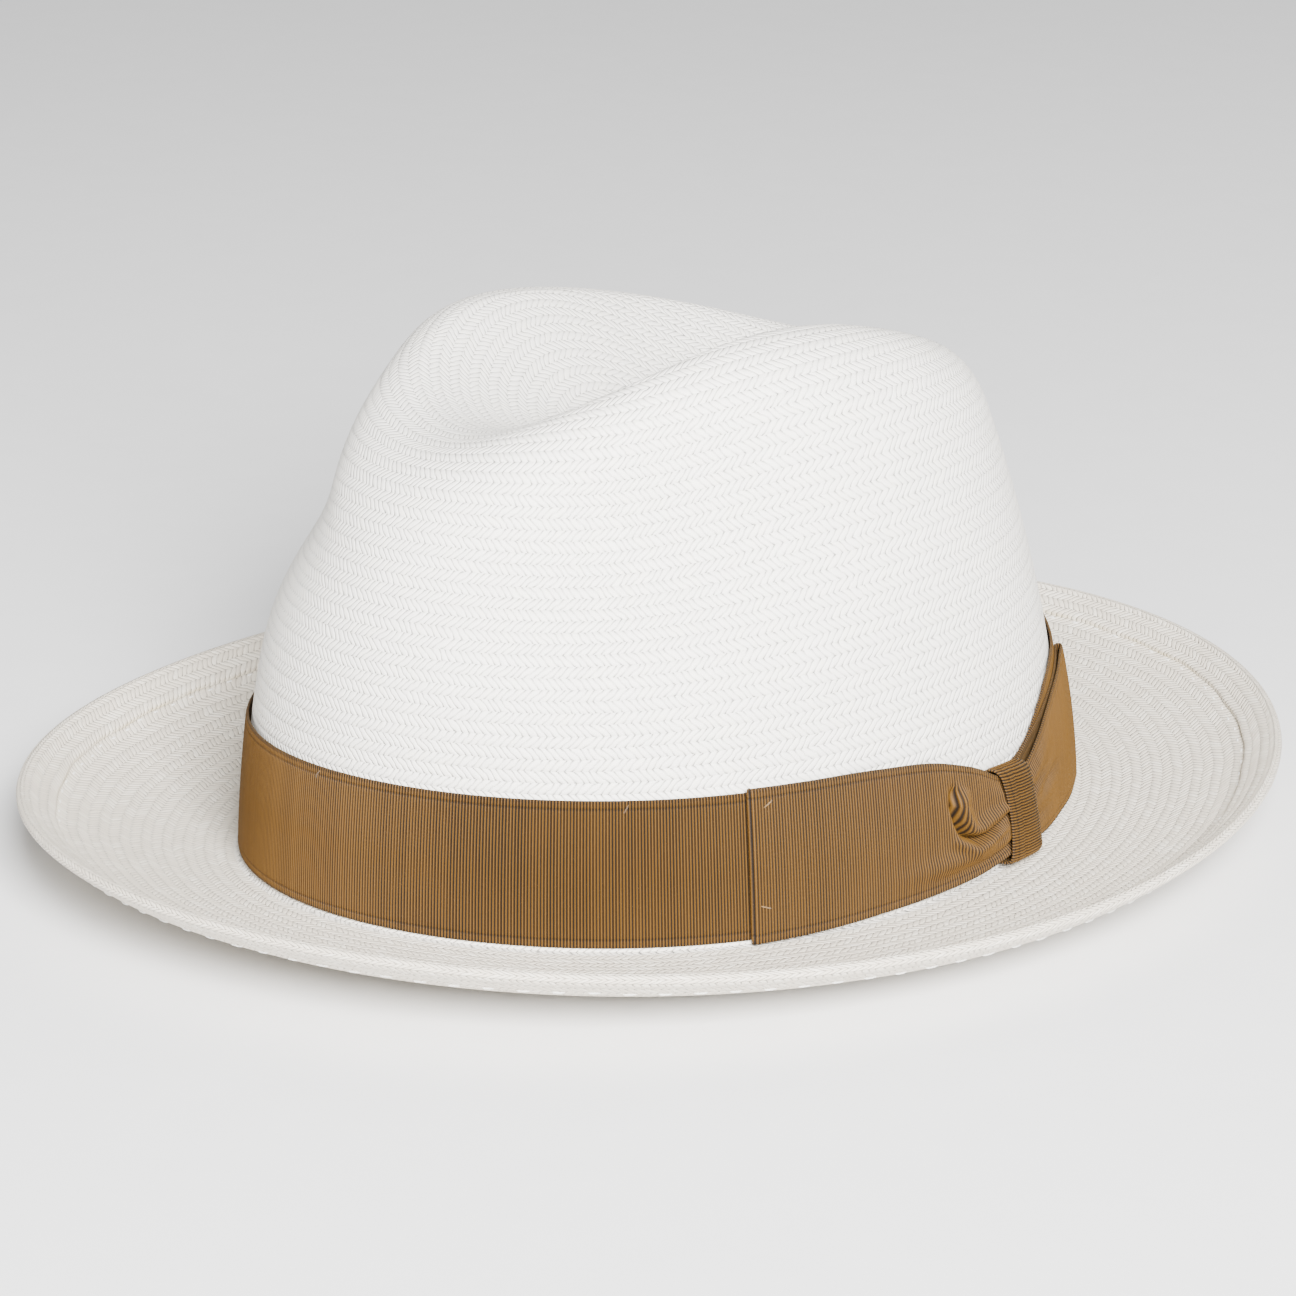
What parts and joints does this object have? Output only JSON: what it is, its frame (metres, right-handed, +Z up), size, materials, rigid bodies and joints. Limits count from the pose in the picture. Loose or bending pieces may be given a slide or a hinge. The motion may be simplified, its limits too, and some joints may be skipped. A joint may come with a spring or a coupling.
{
  "type": "panama hat",
  "caption": "Woven straw fedora with a pinched centre-dent crown, an upturned hemmed brim, a grosgrain ribbon band with a side bow, and an inner sweatband.",
  "frame": {"origin": "middle of the brim's outline, on the flat surface that the underside of the brim rests on", "axes": "+Z up out of the crown, -Y the front of the hat, +X the wearer's left, where the bow is"},
  "size_m": [0.2736, 0.3037, 0.1241],
  "materials": {
    "straw": "bleached toquilla straw in a fine herringbone weave, satin",
    "straw_thread": "white cotton thread",
    "grosgrain": "tan grosgrain ribbon with fine upright ribs, soft sheen",
    "ribbon_thread": "tan sewing thread",
    "leather": "smooth light tan leather",
    "reed": "split cane, bare",
    "tape": "cream cotton tape",
    "rear_ribbon": "narrow tan satin ribbon",
    "label": "blank woven tab"
  },
  "bodies": {
    "root": {"straw_body": "straw", "hem_stitching": "straw_thread", "hat_band": "grosgrain", "band_tack_stitches": "ribbon_thread", "bow_front_wing": "grosgrain", "bow_rear_wing": "grosgrain", "bow_knot": "grosgrain", "bow_tack_stitches": "ribbon_thread", "sweatband": "leather", "sweatband_reed": "reed", "reed_tape": "tape", "leather_stitching": "ribbon_thread", "sweatband_stitching": "straw_thread", "sweatband_rear_seam": "ribbon_thread", "sweatband_rear_bow": "rear_ribbon", "size_label": "label"}
  },
  "joints": []
}
